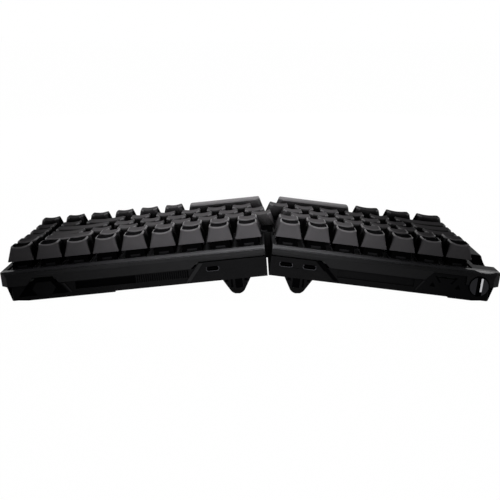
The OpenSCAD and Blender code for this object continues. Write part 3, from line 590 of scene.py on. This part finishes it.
for side in sides:
    node = side + "_switch_housings"
    bm = solidCopy(node, False)
    toPlate = plates[side].inverted()
    # painted shade: shell faces above the flange take the near-black upper finish
    for face in bm.faces:
        if (toPlate @ face.calc_center_median()).z > switchDetail["flangeTop"]:
            face.material_index = switchSlots["top"]
    for row, units, place, name in keysOf(side):
        switchParts(bm, side, place)
    finishPiece("switches_" + side, bm, list(switchFinishes.values()), side + "_half", [node], 0)
print("switches made")


# return springs: a coil of wire in every switch; a moving key's spring is a piece of its own with its own
# mesh
# heights are from the plate
springShape = {"low": -3.0, "high": 5.0, "coil": 1.82, "wire": 0.2, "turns": 8, "steps": 10, "sides": 5,
               "travel": 3.5}


def coilMesh(bm, matrix):
    s = springShape
    count = s["turns"] * s["steps"]
    climb = s["high"] - s["low"] - 2 * s["wire"]
    up = Vector((0, 0, 1))
    rings = []
    for i in range(count + 1):
        turn = math.tau * i / s["steps"]
        out = Vector((math.cos(turn), math.sin(turn), 0))
        centre = out * s["coil"] + up * (s["low"] + s["wire"] + climb * i / count)
        around = [math.tau * k / s["sides"] for k in range(s["sides"])]
        rings.append([bm.verts.new(matrix @ (centre + (out * math.cos(a) + up * math.sin(a)) * s["wire"]))
                      for a in around])
    for a, b in zip(rings, rings[1:]):
        for k in range(s["sides"]):
            j = (k + 1) % s["sides"]
            bm.faces.new((a[k], b[k], b[j], a[j]))
    bm.faces.new(rings[0])
    bm.faces.new(list(reversed(rings[-1])))


for side in sides:
    node = side + "_switch_springs"
    still = bmesh.new()
    for row, units, place, name in keysOf(side):
        matrix = plates[side] @ Matrix.Translation((place[0], place[1], 0))
        if name is None:
            coilMesh(still, matrix)
            continue
        bm = bmesh.new()
        coilMesh(bm, matrix)
        piece = finishPiece("spring_" + name, bm, [drawnWire], side + "_half", [node])
        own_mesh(piece)
    finishPiece("springs_" + side, still, [drawnWire], side + "_half", [node])
print("springs made")


# cases, legs and small hardware: the solids with broken edges
edgeMm = {"case": 0.3, "small": 0.2}
# which finish a face of the case takes, by its middle in mm and its normal: y is the depth from the back wall
caseZones = {
    "level": 0.95, "lean": 0.8, "rising": 0.3, "slope": (0.5, 0.85), "facet": (0.2, 0.5),
    "highlightLow": -0.4, "deck": 0.9, "strip": -9, "lens": -8,
    "scoopX": -137.3, "scoopY": (-58.4, -21.6), "scoopZ": (-4, 1.1),
    "inside": -4.6, "ledge": 0.5, "facing": 0.7, "sideways": 0.3,
    "proudRib": -0.75, "grooveSide": -1.05, "recess": -1.4, "plainBand": (-102, -42), "shadowRib": (-48, -24),
}
topFinishes = {"grain": absTop, "satinHighlight": absSatinHighlight, "polishedHighlight": absPolishedHighlight, "recess": absShadedRecess}
baseFinishes = {"base": absBase, "grain": absTop, "recess": absShadedRecess}


def within(value, limits):
    return limits[0] < value < limits[1]


def topFinish(middle, normal):
    z = caseZones
    # painted highlight: the upper part of the back slope and the level strip above it take the paler satin
    # finish
    if normal.z > z["rising"] and within(normal.y, z["slope"]):
        return "satinHighlight" if middle.z > z["highlightLow"] else "grain"
    if normal.z > z["level"] and middle.z > z["deck"] and middle.y > z["strip"]:
        return "satinHighlight"
    # painted highlight: the thumb facet is near white
    if normal.z > z["lean"] and middle.y > z["lens"] and within(normal.y, z["facet"]):
        return "polishedHighlight"
    # painted shade: the faces of the left scoop looking up are near black
    inScoop = middle.x < z["scoopX"] and within(middle.y, z["scoopY"]) and within(middle.z, z["scoopZ"])
    return "recess" if inScoop and normal.z > z["lean"] else "grain"


def baseFinish(middle, normal):
    z = caseZones
    if middle.y < z["inside"]:
        return "base"
    # painted shade: the outer faces looking up, under the top case's edge, are near black
    if normal.z > z["ledge"]:
        return "recess"
    if normal.y > z["facing"]:
        # painted shadow: the left half's rib beside the sockets is near black; other proud faces take the top
        # case's paler ABS, and the floor of its band has the wall's own grain
        if middle.y > z["proudRib"]:
            return "recess" if within(middle.x, z["shadowRib"]) else "grain"
        # painted shade: the recessed floors facing back are near black, outside the plain band
        return "recess" if middle.y < z["recess"] and not within(middle.x, z["plainBand"]) else "base"
    # painted shade: the side walls of the grooves are near black
    return "recess" if middle.y < z["grooveSide"] and abs(normal.y) < z["sideways"] else "base"


# painted shade: near-black blocks set into the wall where the openings beside the left hatch show, seen from
# the back: x outward and z up, in mm
hatchShade = {"face": -0.97, "depth": 0.4, "outlines": [
    [(108.2, -5.2), (109.4, -5.2), (112.6, -9.6), (111.4, -9.6)],
    [(123.3, -5.2), (122.1, -5.2), (118.9, -9.6), (120.1, -9.6)],
    [(105.2, -12.6), (109.2, -12.6), (107.2, -9.6)], [(122.2, -12.6), (126.2, -12.6), (124.2, -9.6)]]}


def addShadeBlocks(bm, side, marks, index):
    for outline in marks["outlines"]:
        rings = [[bm.verts.new(plates[side] @ Vector((layout["sign"][side] * x, y, z))) for x, z in outline]
                 for y in (marks["face"] - marks["depth"], marks["face"])]
        made = [bm.faces.new(rings[0]), bm.faces.new(rings[1])]
        count = len(outline)
        for i in range(count):
            made.append(bm.faces.new((rings[0][i], rings[0][(i + 1) % count],
                                      rings[1][(i + 1) % count], rings[1][i])))
        bmesh.ops.recalc_face_normals(bm, faces=made)
        for face in made:
            face.material_index = index


def sortFaces(bm, side, finish, finishes):
    slots = slotsOf(finishes)
    toPlate = plates[side].inverted()
    turn = toPlate.to_3x3().normalized()
    for face in bm.faces:
        face.normal_update()
        face.material_index = slots[finish(toPlate @ face.calc_center_median(), turn @ face.normal)]


# in mm: how deep the leg's groove lies, the bright rim of a socket, the slot in the wheel
legGroove = (0.5, 1.6)
socketRim = 0.1
wheelSlot = {"x": -137.75, "half": 3, "y": (-1.2, 0.55)}
legFinishes = {"leg": absLeg, "tip": siliconeFoot, "groove": absShadedRecess}
legSlots = slotsOf(legFinishes)
for side in sides:
    bm = solidCopy(side + "_top_case")
    # the painted highlight ends part of the way down the slope, and at the front of the strip above it
    for point, across in (((0, 0, caseZones["highlightLow"]), (0, 0, 1)), ((0, caseZones["strip"], 0), (0, 1, 0))):
        turn = plates[side].to_3x3().normalized()
        bmesh.ops.bisect_plane(bm, geom=bm.verts[:] + bm.edges[:] + bm.faces[:], dist=meshing["cutMm"] * mm,
                               plane_co=plates[side] @ Vector(point), plane_no=turn @ Vector(across))
    sortFaces(bm, side, topFinish, topFinishes)
    finishPiece("shell_" + side + "_top", bm, list(topFinishes.values()), side + "_half",
                [side + "_top_case"], edgeMm["case"])
    bm = solidCopy(side + "_bottom_case", False)
    sortFaces(bm, side, baseFinish, baseFinishes)
    if side == "left":
        addShadeBlocks(bm, side, hatchShade, slotsOf(baseFinishes)["recess"])
    finishPiece("shell_" + side + "_bottom", bm, list(baseFinishes.values()), side + "_half",
                [side + "_bottom_case"], 0)
    for part in ("rear_leg", "front_leg"):
        node = side + "_" + part
        bm = solidCopy(node, False)
        tip = min(islands(bm), key=lambda verts: max(v.co.z for v in verts))
        back = max(v.co.y for v in bm.verts)
        for face in bm.faces:
            # painted shade: the faces of the leg's groove are near black
            depth = back - face.calc_center_median().y
            face.material_index = legSlots["groove" if within(depth / mm, legGroove) else "leg"]
        for face in {f for v in tip for f in v.link_faces}:
            face.material_index = legSlots["tip"]
        finishPiece("stand_" + node, bm, list(legFinishes.values()), node, [node], 0)
    node = side + "_rubber_feet"
    finishPiece("pads_" + side, solidCopy(node), [siliconeFoot], side + "_half", [node],
                edgeMm["small"])
for node in ("left_host_socket", "left_link_socket", "right_link_socket"):
    bm = solidCopy(node, False)
    mouth = max(v.co.y for v in bm.verts)
    for face in bm.faces:
        # only the rim of the shell keeps the steel finish; the inside is painted near black as shade
        face.material_index = 0 if face.calc_center_median().y > mouth - socketRim * mm else 1
    finishPiece("shell_" + node, bm, [drawnShell, absShadedRecess], node.split("_")[0] + "_half",
                [node], 0)
bm = solidCopy("control_wheel")
toPlate = plates["left"].inverted()
for face in bm.faces:
    # painted shade: the floor and walls of the slot beside the bar are near black
    middle = toPlate @ face.calc_center_median()
    if abs(middle.x - wheelSlot["x"]) < wheelSlot["half"] and within(middle.y, wheelSlot["y"]):
        face.material_index = 1
finishPiece("wheel_disc", bm, [anodisedWheel, absShadedRecess], "wheel", ["control_wheel"],
            edgeMm["small"])
finishPiece("wheel_bar", solidCopy("wheel_inlay"), [brightBar], "wheel", ["wheel_inlay"],
            edgeMm["small"])
print("cases and hardware made")


# what stays as the solid gets its real finish
finishes = {
    "switch_plate": coatedSheet, "circuit_board": solderMask,
    "stabilisers": nylonSwitch, "case_screws": oxideScrew, "space_wire": drawnWire,
}
for side in sides:
    for part, material in finishes.items():
        mesh = nodes[side + "_" + part].data
        mesh.materials.clear()
        mesh.materials.append(material)
nodes["wheel_encoder"].data.materials.clear()
nodes["wheel_encoder"].data.materials.append(nylonSwitch)
print("solids finished")


# floor and light: a plain white floor and soft lamps, the strongest above the middle
studio = {"floorSize": 12.0, "floorDrop": 0.0002, "ambient": 0.1, "ownLight": 0.985, "glow": 1.01,
          "paper": 0.85}
floorMesh = bpy.data.meshes.new("floor")
reach = studio["floorSize"] / 2
floorMesh.from_pydata([(-reach, -reach, 0), (reach, -reach, 0), (reach, reach, 0), (-reach, reach, 0)], [],
                      [(0, 1, 2, 3)])
floor = bpy.data.objects.new("floor", floorMesh)
floor.location.z = -studio["floorDrop"]
bpy.context.collection.objects.link(floor)


def seenRay(tree):
    path = addNode(tree, "ShaderNodeLightPath")
    first = addNode(tree, "ShaderNodeMath", {0: path.outputs["Is Camera Ray"],
                                             1: path.outputs["Is Glossy Ray"]}, operation="MAXIMUM")
    both = addNode(tree, "ShaderNodeMath", {0: first.outputs[0], 1: path.outputs["Is Transmission Ray"]},
                   operation="MAXIMUM")
    return both.outputs[0]


paper = bpy.data.materials.new("whitePaper")
paper.use_nodes = True
tree = paper.node_tree
tree.nodes.remove(tree.nodes["Principled BSDF"])
share = addNode(tree, "ShaderNodeMath", {0: seenRay(tree), 1: studio["ownLight"]}, operation="MULTIPLY")
sheet = addNode(tree, "ShaderNodeBsdfDiffuse", {"Color": [studio["paper"]] * 3 + [1]})
glow = addNode(tree, "ShaderNodeEmission", {"Color": (1, 1, 1, 1), "Strength": studio["glow"]})
mixed = addNode(tree, "ShaderNodeMixShader", {0: share.outputs[0], 1: sheet.outputs[0], 2: glow.outputs[0]})
tree.links.new(mixed.outputs[0], tree.nodes["Material Output"].inputs["Surface"])
floorMesh.materials.append(paper)

world = bpy.data.worlds.new("studio")
bpy.context.scene.world = world
world.use_nodes = True
tree = world.node_tree
level = addNode(tree, "ShaderNodeMapRange", {"Value": seenRay(tree), "To Min": studio["ambient"],
                                             "To Max": 1.0})
tree.links.new(level.outputs["Result"], tree.nodes["Background"].inputs["Strength"])
tree.nodes["Background"].inputs["Color"].default_value = (1, 1, 1, 1)

# each lamp: place and target in mm, size in mm, spread in degrees, power in watts
lamps = {
    "front": {"place": (-10, 760, 60), "target": (-4, 70, 42), "size": 120, "spread": 27, "power": 0.08},
    "centre": {"place": (0, 480, 330), "target": (0, -30, 45), "size": 100, "spread": 24, "power": 0.012},
    "overhead": {"place": (20, 60, 520), "target": (20, 20, 50), "size": 60, "spread": 26, "power": 7.5,
                 "blend": 0.25},
    # low fills on the sides the main view doesn't show, unseen in gloss
    "user": {"place": (0, -1100, 160), "target": (0, -60, 30), "size": 500, "spread": 180, "power": 4.5},
    "right": {"place": (1100, -330, 160), "target": (120, 0, 30), "size": 400, "spread": 180, "power": 4.0},
    "left": {"place": (-1100, -330, 160), "target": (-120, 0, 30), "size": 400, "spread": 180, "power": 4.0},
}
fills = ("user", "right", "left")
for name, lamp in lamps.items():
    if name == "overhead":
        # a shaded lamp straight above lights the tops near the middle and stops short of the outer columns
        data = bpy.data.lights.new(name, "SPOT")
        data.shadow_soft_size = lamp["size"] / 2 * mm
        data.spot_size = math.radians(lamp["spread"])
        data.spot_blend = lamp["blend"]
    else:
        data = bpy.data.lights.new(name, "AREA")
        data.size = lamp["size"] * mm
        data.spread = math.radians(lamp["spread"])
    data.energy = lamp["power"]
    made = bpy.data.objects.new(name, data)
    made.location = Vector(lamp["place"]) * mm
    made.rotation_euler = (Vector(lamp["target"]) - Vector(lamp["place"])).to_track_quat("-Z", "Y").to_euler()
    made.visible_camera = False
    made.visible_glossy = name not in fills
    bpy.context.collection.objects.link(made)
bpy.context.scene.view_settings.view_transform = "Standard"
print("studio set")
